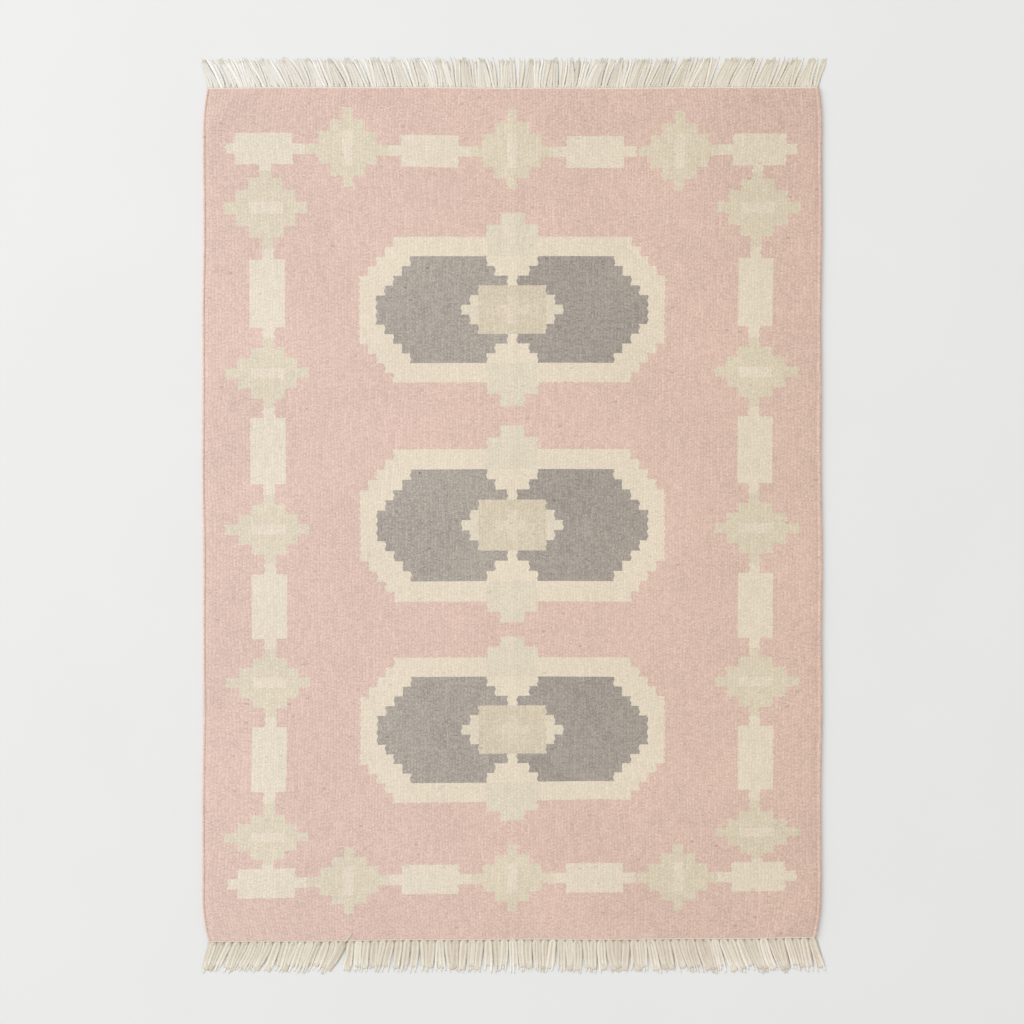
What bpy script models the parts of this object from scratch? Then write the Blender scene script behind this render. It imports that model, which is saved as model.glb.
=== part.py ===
"""Flatweave rug with a knotted warp fringe at each end, lying flat.

The woven cloth is one thin sheet with drawn-in corners, slightly wavy edges, thicker selvedges and
the soft ridges left by folding. Each fringe is one solid: a narrow header strip at the cloth's end
with separate strands that grow out of it and rest level on the floor.

Metres, +Z up, +X across the warp, +Y along the warp. The origin is under the rug's centre.
"""

import math

import bmesh
import bpy

MM = 0.001

# Woven cloth
CLOTH_WIDTH = 1.203
CLOTH_LENGTH = 1.652
CLOTH_THICKNESS = 5.0 * MM
RIM_SOFTNESS = 1.2 * MM

# Its grid: even columns and rows, and more beside the middle fold and near the ends
CLOTH_COLUMNS = 36
CLOTH_ROWS = 48
EXTRA_COLUMNS = (-0.022, -0.011, 0.002, 0.014, 0.026)
EXTRA_ROWS_FROM_END = (0.007, 0.020)
LINES_APART = 0.4

# Selvedges: the outer cords of the warp, thicker than the field between them
SELVEDGE_WIDTH = 6.0 * MM
SELVEDGE_SLOPE = 3.6 * MM
SELVEDGE_EXTRA = 0.8 * MM

# Each corner is drawn in over the last stretch of its long side, keyed by its side in X and in Y
CORNER_DRAW_IN = {(-1, -1): 12.5 * MM, (1, -1): 9.0 * MM, (-1, 1): 7.5 * MM, (1, 1): 6.5 * MM}
CORNER_DRAW_LENGTH = 80 * MM

# Slow waviness of the edges, as (amplitude, wavelength, phase), shifted so that no two edges match
SIDE_WAVES = ((1.1 * MM, 0.93, 0.4), (0.6 * MM, 0.31, 1.9))
END_WAVES = ((0.8 * MM, 0.78, 2.2), (0.4 * MM, 0.27, 0.7))
SIDE_WAVE_SHIFT = 0.37
END_WAVE_SHIFT = 0.21

# The near end was cut askew, as (extra length in the middle, slope), keyed by its side in Y
END_SLANT = {1: (0.0, 0.0), -1: (1.9 * MM, -0.0058)}

# Fold ridges, as (start, end, half width, height); the underside lifts with them
RIDGES = (
    ((0.002, 0.800), (0.006, 0.470), 0.022, 1.6 * MM),
    ((0.004, 0.470), (-0.002, 0.080), 0.020, 0.8 * MM),
    ((-0.002, -0.100), (0.004, -0.360), 0.020, 0.9 * MM),
    ((-0.005, -0.730), (-0.055, -0.815), 0.038, 1.8 * MM),
    ((-0.595, 0.004), (-0.430, 0.006), 0.028, 1.4 * MM),
    ((0.360, 0.196), (0.560, 0.204), 0.020, 0.7 * MM),
    ((0.380, 0.104), (0.575, 0.098), 0.020, 0.7 * MM),
    ((-0.590, 0.765), (-0.520, 0.815), 0.036, 2.2 * MM),
    ((-0.575, -0.745), (-0.480, -0.805), 0.034, 2.0 * MM),
    ((0.535, -0.805), (0.590, -0.755), 0.036, 2.2 * MM),
)
RIDGE_END_FADE = 0.05
RIDGE_CLEAR_OF_EDGE = 0.012

# Fringes: what both share
FRINGE_GAP = 0.3 * MM
HEADER_WIDTH = 3.6 * MM
HEADER_HEIGHT = 4.6 * MM
HEADER_INSET = 1.5 * MM
STRAND_SEGMENTS = 4
STRAND_HEIGHT = 3.4 * MM
TIP_HEIGHT = 2.2 * MM
TOP_WIDTH_SHARE = 0.72
TIP_WIDTH_SHARE = 0.55
STRANDS_PER_BACK_POINT = 4

# How strands lie: fanning out from their knots, leaning outward, swaying and bending
FANNED_OUT_BY = 0.4
LEAN_TURNS_OVER = 0.27
LEAN_CURVE = 1.2
BEND_SHARE = 0.35
BEND_SHIFT = 0.05
LENGTH_STEP = 2.4

# Each fringe: knotted groups, strands in a group, strand widths, reach of the tips and sway
FRINGES = {
    "fringe_far_end": {
        "side": 1,
        "groups": 101,
        "strands": 1,
        "root_width": 4.6 * MM,
        "root_pitch": 0.0,
        "strand_width": 6.6 * MM,
        "length": 52.0 * MM,
        "unevenness": 2.6 * MM,
        "lean": 14 * MM,
        "sways": ((3.6 * MM, 0.131, 0.3), (2.6 * MM, 0.083, 2.0), (1.0 * MM, 0.041, 4.4)),
    },
    "fringe_near_end": {
        "side": -1,
        "groups": 75,
        "strands": 2,
        "root_width": 3.2 * MM,
        "root_pitch": 3.9 * MM,
        "strand_width": 4.6 * MM,
        "length": 59.5 * MM,
        "unevenness": 3.6 * MM,
        "lean": 16 * MM,
        "sways": ((4.2 * MM, 0.148, 1.1), (2.4 * MM, 0.079, 5.2), (0.9 * MM, 0.043, 0.6)),
    },
}

# Finish
CLOTH_COLOUR = (0.72, 0.49, 0.41, 1.0)
FRINGE_COLOUR = (0.76, 0.70, 0.58, 1.0)
YARN_ROUGHNESS = 0.95


def waves(position, terms):
    """Sum of slow sine waves at one position along an edge."""
    return sum(
        amplitude * math.sin(math.tau * position / length + phase)
        for amplitude, length, phase in terms
    )


def sign(value):
    """1 for a positive value, -1 for any other."""
    return 1 if value > 0 else -1


def smooth(value):
    """Smooth step from 0 to 1 for a value between 0 and 1."""
    value = min(max(value, 0.0), 1.0)
    return value * value * (3.0 - 2.0 * value)


def half_width(y, side):
    """Distance from the centre line to the cloth's long edge, at this place along the warp."""
    from_end = CLOTH_LENGTH / 2 - abs(y)
    near_end = max(1.0 - from_end / CORNER_DRAW_LENGTH, 0.0)
    drawn_in = CORNER_DRAW_IN[side, sign(y)] * near_end**2
    return CLOTH_WIDTH / 2 - drawn_in + waves(y * side + SIDE_WAVE_SHIFT, SIDE_WAVES)


def slant(x, side):
    """How far the cloth's end runs past its even length, at this place across the warp."""
    extra, slope = END_SLANT[side]
    return extra + slope * x


def end_line(x, side):
    """Distance from the centre line to the cloth's end, at this place across the warp."""
    return CLOTH_LENGTH / 2 + slant(x, side) + waves(x * side + END_WAVE_SHIFT, END_WAVES)


def ridge_height(x, y, ridge):
    """Height of one soft fold ridge at this point."""
    (x0, y0), (x1, y1), width, height = ridge
    length = math.hypot(x1 - x0, y1 - y0)
    along = ((x - x0) * (x1 - x0) + (y - y0) * (y1 - y0)) / length
    across = abs((x - x0) * (y1 - y0) - (y - y0) * (x1 - x0)) / length
    if across >= width:
        return 0.0
    beyond = max(-along, along - length, 0.0)
    fade = 1.0 - smooth(beyond / RIDGE_END_FADE)
    return height * fade * 0.5 * (1.0 + math.cos(math.pi * across / width))


def lift(x, y):
    """How far the cloth lifts off the floor here."""
    to_end = end_line(x, sign(y)) - abs(y)
    to_side = half_width(y, sign(x)) - abs(x)
    near_edge = smooth(min(to_end, to_side) / RIDGE_CLEAR_OF_EDGE)
    return near_edge * max(ridge_height(x, y, ridge) for ridge in RIDGES)


def grid_lines(count, extra):
    """Even lines from -1 to 1, with a few more where the cloth needs them."""
    even = [2.0 * i / count - 1.0 for i in range(1, count)]
    apart = LINES_APART / count
    kept = [line for line in even if all(abs(line - other) > apart for other in extra)]
    return sorted([-1.0, 1.0] + kept + extra)


def cloth_point(across, along):
    """Point of the cloth's plan for grid values between -1 and 1."""
    x = across * half_width(along * CLOTH_LENGTH / 2, sign(across))
    y = along * end_line(x, sign(along))
    return x, y


def thickness(across, along, selvedge_from):
    """Thickness of the cloth for grid values between -1 and 1."""
    value = CLOTH_THICKNESS
    if abs(across) >= selvedge_from:
        value += SELVEDGE_EXTRA
    if abs(across) == 1.0 or abs(along) == 1.0:
        value -= RIM_SOFTNESS
    return value


def build_cloth(material):
    """The woven cloth: a top and an underside on one grid, joined round the rim."""
    half = CLOTH_WIDTH / 2
    inner = 1.0 - SELVEDGE_WIDTH / half
    foot = inner - SELVEDGE_SLOPE / half
    close = [place / half for place in EXTRA_COLUMNS]
    columns = grid_lines(CLOTH_COLUMNS, close + [-inner, -foot, foot, inner])
    near_ends = [1.0 - distance / (CLOTH_LENGTH / 2) for distance in EXTRA_ROWS_FROM_END]
    rows = grid_lines(CLOTH_ROWS, near_ends + [-place for place in near_ends])

    mesh = bmesh.new()
    tops, undersides = [], []
    for along in rows:
        places = [cloth_point(across, along) for across in columns]
        lifts = [lift(x, y) for x, y in places]
        undersides.append([mesh.verts.new((x, y, low)) for (x, y), low in zip(places, lifts)])
        heights = [low + thickness(across, along, inner) for across, low in zip(columns, lifts)]
        tops.append([mesh.verts.new((x, y, high)) for (x, y), high in zip(places, heights)])

    last_row, last_column = len(rows) - 1, len(columns) - 1
    for j in range(last_row):
        for i in range(last_column):
            corners = (j, i), (j, i + 1), (j + 1, i + 1), (j + 1, i)
            mesh.faces.new([tops[a][b] for a, b in corners])
            mesh.faces.new([undersides[a][b] for a, b in reversed(corners)])
    rim = [(0, i) for i in range(last_column)]
    rim += [(j, last_column) for j in range(last_row)]
    rim += [(last_row, i) for i in range(last_column, 0, -1)]
    rim += [(j, 0) for j in range(last_row, 0, -1)]
    for (a, b), (c, d) in zip(rim, rim[1:] + rim[:1]):
        mesh.faces.new((undersides[a][b], undersides[c][d], tops[c][d], tops[a][b]))
    finish_object("rug_cloth", mesh, material)


def strand_roots(settings, left, right):
    """For each strand in order, its root's place across the warp and where it would hang evenly."""
    pitch = (right - left) / settings["groups"]
    spread = pitch / settings["strands"]
    roots = []
    for group in range(settings["groups"]):
        centre = left + (group + 0.5) * pitch
        for strand in range(settings["strands"]):
            offset = strand - (settings["strands"] - 1) / 2
            roots.append((centre + offset * settings["root_pitch"], centre + offset * spread))
    return roots


def strand_centre(settings, root, even, reach):
    """Place across the warp of a strand's centre line, at a reach from 0 at its root to 1 at its tip."""
    fanned = root + (even - root) * smooth(reach / FANNED_OUT_BY)
    lean = settings["lean"] * math.tanh(even / LEAN_TURNS_OVER) * reach**LEAN_CURVE
    sway = waves(even, settings["sways"]) * reach**2
    bend = BEND_SHARE * waves(even + BEND_SHIFT, settings["sways"]) * math.sin(math.pi * reach)
    return fanned + lean + sway + bend


def column(mesh, side, x, out, heights):
    """Points one above another beside the cloth's end, at a distance out from it."""
    y = side * (end_line(x, side) + FRINGE_GAP + out)
    return [mesh.verts.new((x, y, height)) for height in heights]


def add_header(mesh, side, left, right, root_edges):
    """The header strip. Returns each strand's root cell as its left and right columns."""
    plain = (0.0, HEADER_HEIGHT)
    stepped = (0.0, STRAND_HEIGHT, HEADER_HEIGHT)
    cells = [[column(mesh, side, x, HEADER_WIDTH, stepped) for x in edges] for edges in root_edges]
    first = column(mesh, side, left, HEADER_WIDTH, plain)
    last = column(mesh, side, right, HEADER_WIDTH, plain)

    # The back has a point for every few strands only
    step = STRANDS_PER_BACK_POINT
    starts = list(range(0, len(cells), step))
    joins = [(root_edges[i - 1][1] + root_edges[i][0]) / 2 for i in starts[1:]]
    back = [column(mesh, side, x, 0.0, plain) for x in [left, *joins, right]]

    # Top, underside and back, one stretch of strands at a time
    front = [first] + [edge for cell in cells for edge in cell] + [last]
    for stretch, start in enumerate(starts):
        near, far = back[stretch], back[stretch + 1]
        begin = 2 * start + 1 if start else 0
        finish = 2 * (start + step) + 1
        edges = front[begin : finish + 1]
        if start + step >= len(cells):
            edges = front[begin:]
        mesh.faces.new([near[1], far[1]] + [edge[-1] for edge in reversed(edges)])
        mesh.faces.new([far[0], near[0]] + [edge[0] for edge in edges])
        mesh.faces.new((near[0], far[0], far[1], near[1]))
    mesh.faces.new((*back[0], *reversed(first)))
    mesh.faces.new((*reversed(back[-1]), *last))

    # Outer face between the root cells, and above each strand
    for edge, following in zip(front[0::2], front[1::2]):
        mesh.faces.new(edge + following[::-1])
    for before, after in cells:
        mesh.faces.new((before[1], before[2], after[2], after[1]))
    return cells


def add_strand(mesh, settings, cell, root, even, length):
    """One four-sided strand, drawn out of its root cell and resting level on the floor."""
    side = settings["side"]
    before, after = cell
    ring = [before[0], after[0], after[1], before[1]]
    for segment in range(1, STRAND_SEGMENTS + 1):
        reach = segment / STRAND_SEGMENTS
        at_tip = segment == STRAND_SEGMENTS
        widening = (settings["strand_width"] - settings["root_width"]) * smooth(reach / FANNED_OUT_BY)
        half = (settings["root_width"] + widening) / 2
        half *= TIP_WIDTH_SHARE if at_tip else 1.0
        height = TIP_HEIGHT if at_tip else STRAND_HEIGHT
        x = strand_centre(settings, root, even, reach)
        y = side * (end_line(root, side) + FRINGE_GAP + HEADER_WIDTH + reach * length)
        corners = (
            (x - half, y, 0.0),
            (x + half, y, 0.0),
            (x + TOP_WIDTH_SHARE * half, y, height),
            (x - TOP_WIDTH_SHARE * half, y, height),
        )
        outer = [mesh.verts.new(corner) for corner in corners]
        for k in range(4):
            mesh.faces.new((ring[k - 1], outer[k - 1], outer[k], ring[k]))
        ring = outer
    mesh.faces.new(ring)


def build_fringe(name, settings, material):
    """One fringe: a header strip whose outer face carries the strands."""
    side = settings["side"]
    left = HEADER_INSET - half_width(side * CLOTH_LENGTH / 2, -1)
    right = half_width(side * CLOTH_LENGTH / 2, 1) - HEADER_INSET
    roots = strand_roots(settings, left, right)
    half_root = settings["root_width"] / 2
    mesh = bmesh.new()
    root_edges = [(root - half_root, root + half_root) for root, _ in roots]
    cells = add_header(mesh, side, left, right, root_edges)
    for number, ((root, even), cell) in enumerate(zip(roots, cells)):
        length = settings["length"] + settings["unevenness"] * math.sin(LENGTH_STEP * number)
        add_strand(mesh, settings, cell, root, even, length - slant(root, side))
    finish_object(name, mesh, material)


def yarn_material(name, colour):
    """Matt spun yarn."""
    material = bpy.data.materials.new(name)
    material.use_nodes = True
    shader = material.node_tree.nodes["Principled BSDF"]
    shader.inputs["Base Color"].default_value = colour
    shader.inputs["Roughness"].default_value = YARN_ROUGHNESS
    shader.inputs["Metallic"].default_value = 0.0
    material.diffuse_color = colour
    return material


def finish_object(name, mesh, material):
    """Turns a bmesh into a named object with one material."""
    bmesh.ops.recalc_face_normals(mesh, faces=mesh.faces)
    data = bpy.data.meshes.new(name)
    mesh.to_mesh(data)
    mesh.free()
    data.materials.append(material)
    made = bpy.data.objects.new(name, data)
    bpy.context.scene.collection.objects.link(made)


def main():
    for old in list(bpy.data.objects):
        bpy.data.objects.remove(old, do_unlink=True)
    build_cloth(yarn_material("flatwoven_wool", CLOTH_COLOUR))
    fringe_yarn = yarn_material("fringe_cotton", FRINGE_COLOUR)
    for name, settings in FRINGES.items():
        build_fringe(name, settings, fringe_yarn)


main()
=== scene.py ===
import math

import bpy
import numpy as np
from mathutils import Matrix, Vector


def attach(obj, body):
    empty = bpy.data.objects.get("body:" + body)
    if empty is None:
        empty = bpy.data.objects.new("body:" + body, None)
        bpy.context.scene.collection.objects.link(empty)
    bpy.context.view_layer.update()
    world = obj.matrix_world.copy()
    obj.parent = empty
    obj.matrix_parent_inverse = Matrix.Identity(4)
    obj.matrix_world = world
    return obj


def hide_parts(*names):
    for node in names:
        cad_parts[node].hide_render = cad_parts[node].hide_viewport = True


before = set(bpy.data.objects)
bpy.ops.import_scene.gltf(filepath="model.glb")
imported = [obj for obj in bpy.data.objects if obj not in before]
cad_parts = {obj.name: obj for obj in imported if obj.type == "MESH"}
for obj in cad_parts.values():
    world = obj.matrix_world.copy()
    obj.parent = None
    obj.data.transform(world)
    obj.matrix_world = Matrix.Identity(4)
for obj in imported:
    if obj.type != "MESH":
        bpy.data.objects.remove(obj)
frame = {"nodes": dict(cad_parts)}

bl_info = {
    "name": "Flatweave rug",
    "version": (1, 0, 0),
    "blender": (4, 5, 0),
    "location": "3D View > Sidebar > Rug",
    "description": "Weaves a flat wool rug with its fringes, on a pale floor",
    "category": "Object",
}

MM = 0.001
TAU = 2 * math.pi

# The cloth's outline, as in the CAD: how far each corner draws in and how the edges wander.
CORNER_DRAW_IN = {(-1, -1): 12.5 * MM, (1, -1): 9.0 * MM, (-1, 1): 7.5 * MM, (1, 1): 6.5 * MM}
CORNER_DRAW_LENGTH = 80 * MM
SIDE_WAVES = ((1.1 * MM, 0.93, 0.4), (0.6 * MM, 0.31, 1.9))
END_WAVES = ((0.8 * MM, 0.78, 2.2), (0.4 * MM, 0.27, 0.7))
SIDE_WAVE_SHIFT = 0.37
END_WAVE_SHIFT = 0.21
WOOL_FUZZ = 0.8 * MM

# The near end was cut askew: extra length in the middle and its slope, for each end.
END_SLANT = {1: (0.0, 0.0), -1: (1.9 * MM, -0.0058)}
SLANT_REACH = 60 * MM

# Soft fold ridges, as in the CAD: start, end, half width, height.
RIDGES = (
    ((0.002, 0.800), (0.006, 0.470), 0.022, 1.6 * MM),
    ((0.004, 0.470), (-0.002, 0.080), 0.020, 0.8 * MM),
    ((-0.002, -0.100), (0.004, -0.360), 0.020, 0.9 * MM),
    ((-0.005, -0.730), (-0.055, -0.815), 0.038, 1.8 * MM),
    ((-0.595, 0.004), (-0.430, 0.006), 0.028, 1.4 * MM),
    ((0.360, 0.196), (0.560, 0.204), 0.020, 0.7 * MM),
    ((0.380, 0.104), (0.575, 0.098), 0.020, 0.7 * MM),
    ((-0.590, 0.765), (-0.520, 0.815), 0.036, 2.2 * MM),
    ((-0.575, -0.745), (-0.480, -0.805), 0.034, 2.0 * MM),
    ((0.535, -0.805), (0.590, -0.755), 0.036, 2.2 * MM),
)
RIDGE_END_FADE = 0.05
RIDGE_CLEAR_OF_EDGE = 0.012

# Heights of the cloth's top and underside at a distance in from the side edge: a round
# selvedge cord, a groove beside it, then the flat field.
SELVEDGE_SCALE = {-1: 0.64, 1: 1.0}
SIDE_PROFILE = (
    (0.0, 2.7, 2.7),
    (0.5, 4.3, 1.0),
    (1.6, 5.3, 0.3),
    (3.2, 5.8, 0.0),
    (5.0, 5.6, 0.0),
    (6.4, 4.9, 0.1),
    (7.4, 4.2, 0.3),
    (8.6, 4.6, 0.2),
    (10.2, 5.0, 0.0),
)
# How full the cloth is at a distance in from its end edge.
END_PROFILE = ((0.0, 0.0), (0.08, 0.93), (0.4, 0.99), (1.4, 1.0), (3.0, 0.97), (4.4, 1.0))
MID_HEIGHT = 2.5

# The chart, in millimetres from the cloth's centre: motifs stand on a pitch along the ends,
# and down each side at the heights below.
PITCH = 160.8
COLUMN = 3 * PITCH
TOP_ROW = 708.6
BOTTOM_ROW = -713.7
STEM = 10.6
TIP = 9.6
BAR_HALF_LENGTH = 55.6
CORNER_HALF_LENGTH = {-3: 55.6, 3: 52.0}
# Crosses the weaver set a little off their pitch.
ASTRAY = {-2: 1.0, 2: 4.2}
BAR_HALF_HEIGHT = 32.0
TABS = {-1: 556.0, 1: 555.0}
SIDE_STEMS = {-1: (-10.4, 13.0), 1: (-12.0, 9.0)}
TALL = 34.2
SIDE_BAR_HALF_WIDTH = 34.6
CROSS_ARM = 57.0
CROSS_WAIST = 33.2
CROSS_REACH = 80.0
STRIPE_HALF_LENGTH = 35
SIDE_STRIPE_SHARE = 0.1
CORNER_HEIGHTS = {BOTTOM_ROW: 55.4, TOP_ROW: 62.0}
# How far each end's shapes are squeezed along the warp, and each cross raised.
CROSS_SQUEEZE = {TOP_ROW: 0.965, BOTTOM_ROW: 0.80}
CROSS_RAISED = {TOP_ROW: {-2: 4.0, 0: 2.4, 2: -1.5}, BOTTOM_ROW: {-2: 0.8, 0: 0.8, 2: 0.8}}
BAR_SQUEEZE = {TOP_ROW: 0.965, BOTTOM_ROW: 0.88}
STEM_SQUEEZE = {TOP_ROW: 0.965, BOTTOM_ROW: 0.95}
# Down the sides: place and height of each cross and bar, and a cross's bands, half width and share
# of the height.
SIDE_CROSSES = ((593.6, 112.8), (273.3, 98.6), (-30.7, 97.3), (-328.7, 94.7), (-625.5, 84.6))
SIDE_BARS = ((428.3, 132.3), (121.9, 129.3), (-180.5, 125.5), (-477.1, 125.5))
SIDE_CROSS_BANDS = ((CROSS_WAIST, 1.0), (CROSS_ARM, 0.605), (CROSS_REACH, 0.2))

# Each medallion: top of the upper spire, top and bottom of the frame, foot of the lower spire.
MEDALLIONS = (
    (582.6, 534.9, 251.9, 206.2),
    (168.1, 122.4, -174.6, -215.3),
    (-242.5, -283.3, -565.0, -602.1),
)
# How the weaver's hand pulled in the sides, in millimetres: at mid length, more towards the near
# end, unevenly on the right (even part, part that grows to the far end) and on the left. The pull
# is full up to the border and fades out to the edge, both in metres.
PULLED_IN = 7.6
PULLED_IN_NEAR = 2.2
PULLED_UNEVENLY = {1: (1.7, 1.3), -1: 1.8}
PULL_FULL_TO = 0.51
PULL_FADE = 0.09
PULL_AT_BORDER = 1.057
# How the rows run askew and bowed, in millimetres, and where either changes along the cloth:
# change, place, length of the change.
ASKEW = 1.36
ASKEW_CHANGES = {-1: (5.45, 0.48, 0.235), 1: (-2.3, 0.51, 0.2)}
BOW = 3.0
BOW_CHANGE = (-8.4, 0.56, 0.12)
ROWS_EVEN_OUT = 0.07
# Places where the weaver beat in a pick or two more or fewer: place, spread, rise in mm.
SLIPS = (
    ((0.18, -0.565), (0.15, 0.06), 5.4),
    ((-0.48, 0.65), (0.10, 0.05), 1.6),
    ((-0.33, -0.70), (0.09, 0.07), 2.6),
)
STEP = 16.77
CLOSEST_LINES = 1.2 * MM
# Half widths of each row of a medallion, from its top down, in these steps.
FRAME_STEPS = (14, 15, 16, 17, 18, 18, 18, 18, 18, 18, 18, 17, 16, 15, 14)
GROUND_STEPS = (12, 13, 14, 15, 16, 16, 16, 15, 14, 13, 12)
NECK = TIP / STEP
HEART_STEPS = (3, 2, NECK, 4, 5, 6, 5, 4, NECK, 2, 3)
SPIRE_STEPS = (1.42, 3)
# The yarns of the chart, each a colour in the cloth's settings. The field lies beneath the rest.
YARNS = ("field", "bar", "cross", "stripe", "frame", "ground", "far_ground", "heart", "tip", "plus")


def linear(colour):
    """An sRGB hex colour such as "e3c8ba" as linear red, green, blue and 1."""
    parts = [int(colour[i:i + 2], 16) / 255 for i in (0, 2, 4)]
    return (*(c / 12.92 if c <= 0.04045 else ((c + 0.055) / 1.055) ** 2.4 for c in parts), 1.0)


def waves(position, terms):
    """A sum of sine waves, each (height, length, phase), at a position."""
    return sum(height * np.sin(TAU * position / length + phase) for height, length, phase in terms)


def smooth(value):
    """0 below 0, 1 above 1, and an even slope between."""
    value = np.clip(value, 0.0, 1.0)
    return value * value * (3 - 2 * value)


def chance(*numbers):
    """A fixed number from 0 to 1 for these numbers, the same on every run."""
    mixed = sum(n * weight for n, weight in zip(numbers, (12.9898, 78.233, 37.719)))
    return np.modf(np.abs(np.sin(mixed + 1.7) * 43758.5453))[0]


def eased(position, change):
    """A change in millimetres that comes in softly: how much, from where, over what length."""
    rise, start, length = change
    return rise * smooth((position - start) / length)


def half_width(along, side, cloth):
    """Distance from the centre line to one side edge, at a place along the cloth."""
    shape = np.maximum(1 - (cloth.length / 2 - np.abs(along)) / CORNER_DRAW_LENGTH, 0) ** 2
    far = np.where(side > 0, CORNER_DRAW_IN[1, 1], CORNER_DRAW_IN[-1, 1])
    near = np.where(side > 0, CORNER_DRAW_IN[1, -1], CORNER_DRAW_IN[-1, -1])
    drawn = np.where(along > 0, far, near)
    edge = cloth.width / 2 + WOOL_FUZZ - drawn * shape
    return edge + waves(along * side + SIDE_WAVE_SHIFT, SIDE_WAVES)


def slant(across, side):
    """How far an end runs past its even length, at a place across the cloth."""
    far, near = END_SLANT[1], END_SLANT[-1]
    return np.where(side > 0, far[0] + far[1] * across, near[0] + near[1] * across)


def end_line(across, side, cloth):
    """Distance from the centre to one end edge, at a place across the cloth."""
    uneven = waves(across * side + END_WAVE_SHIFT, END_WAVES)
    return cloth.length / 2 + slant(across, side) + uneven


def outlined(p, q, cloth):
    """The place on the floor of a point of the straight chart, inside the cloth's uneven outline."""
    across = p / (cloth.width / 2)
    along = q / (cloth.length / 2)
    side = np.where(p > 0, 1.0, -1.0)
    end = np.where(q > 0, 1.0, -1.0)
    x = across * half_width(q, side, cloth)
    askew = slant(x, end)
    reach = 1 - smooth((cloth.length / 2 - np.abs(q)) / SLANT_REACH)
    return x, along * (end_line(x, end, cloth) - askew) + end * askew * reach


def hand_woven(p, q, cloth):
    """Where the weaver's hand put a point of the chart: sides pulled in, rows bowed and askew."""
    reach = np.abs(p) / (COLUMN * MM)
    t = np.clip(q / (TOP_ROW * MM), -1, 1)
    fading = (cloth.width / 2 - np.abs(p)) / PULL_FADE * PULL_AT_BORDER
    weight = np.where(np.abs(p) < PULL_FULL_TO, reach, fading)
    on_right = PULLED_UNEVENLY[1][0] + PULLED_UNEVENLY[1][1] * t
    on_left = -PULLED_UNEVENLY[-1] * t * np.abs(t)
    uneven = np.where(p > 0, on_right, on_left) * np.minimum(reach, 1) ** 4
    pull = (PULLED_IN * (1 - t**4) + PULLED_IN_NEAR * (1 - t) + uneven) * MM * weight
    skew = ASKEW + eased(-q, ASKEW_CHANGES[-1]) + eased(q, ASKEW_CHANGES[1])
    bow = BOW + eased(q, BOW_CHANGE)
    hollow = 1 - np.minimum(reach, 1) ** 2
    fade = smooth((cloth.length / 2 - np.abs(q)) / ROWS_EVEN_OUT)
    lift = skew * p / (COLUMN * MM) + bow * hollow
    for (x, y), (wide, high), rise in SLIPS:
        lift = lift + rise * np.exp(-((p - x) / wide) ** 2 - ((q - y) / high) ** 2)
    return p - np.sign(p) * pull, q + lift * MM * fade


def ridge_lift(x, y, cloth):
    """How far the fold ridges raise the cloth here."""
    lift = np.zeros_like(x)
    for start, end, half, height in RIDGES:
        a, b = np.array(start), np.array(end)
        length = np.linalg.norm(b - a)
        ahead = (b - a) / length
        down = (x - a[0]) * ahead[0] + (y - a[1]) * ahead[1]
        off = np.abs((x - a[0]) * -ahead[1] + (y - a[1]) * ahead[0])
        past = np.maximum(np.maximum(-down, down - length), 0)
        crest = np.where(off < half, 0.5 + 0.5 * np.cos(math.pi * np.minimum(off / half, 1)), 0)
        lift = np.maximum(lift, height * crest * smooth(1 - past / RIDGE_END_FADE))
    to_end = cloth.length / 2 - np.abs(y)
    to_side = cloth.width / 2 - np.abs(x)
    return lift * smooth(np.minimum(to_end, to_side) / RIDGE_CLEAR_OF_EDGE)


def cross(centre, row, squeeze):
    """An upright stepped cross with its light stripe, as chart rectangles."""
    made = [(centre - w, centre + w, row - h * squeeze, row + h * squeeze, "cross")
            for w, h in ((TALL, CROSS_ARM), (CROSS_ARM, CROSS_WAIST), (TIP, CROSS_REACH))]
    half = STRIPE_HALF_LENGTH * squeeze
    made.append((centre - TIP, centre + TIP, row - half, row + half, "stripe"))
    return made


def end_row(row):
    """One end's row of bars and crosses, joined by short stems."""
    stem = STEM * STEM_SQUEEZE[row]
    made = []
    for number in range(-3, 4):
        centre = number * PITCH + ASTRAY.get(number, 0)
        is_bar = number % 2 != 0
        yarn = "bar" if is_bar else "cross"
        low = max(centre - PITCH / 2, -COLUMN)
        high = min(centre + PITCH / 2, COLUMN)
        made.append((low, high, row - stem, row + stem, yarn))
        if is_bar:
            half = BAR_HALF_HEIGHT * BAR_SQUEEZE[row]
            length = CORNER_HALF_LENGTH.get(number, BAR_HALF_LENGTH)
            made.append((centre - length, centre + length, row - half, row + half, yarn))
        else:
            made += cross(centre, row + CROSS_RAISED[row][number], CROSS_SQUEEZE[row])
    for side in (-1, 1):
        inner, outer = sorted((side * COLUMN, side * TABS[side]))
        made.append((inner, outer, row - stem, row + stem, "bar"))
    return made


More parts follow.
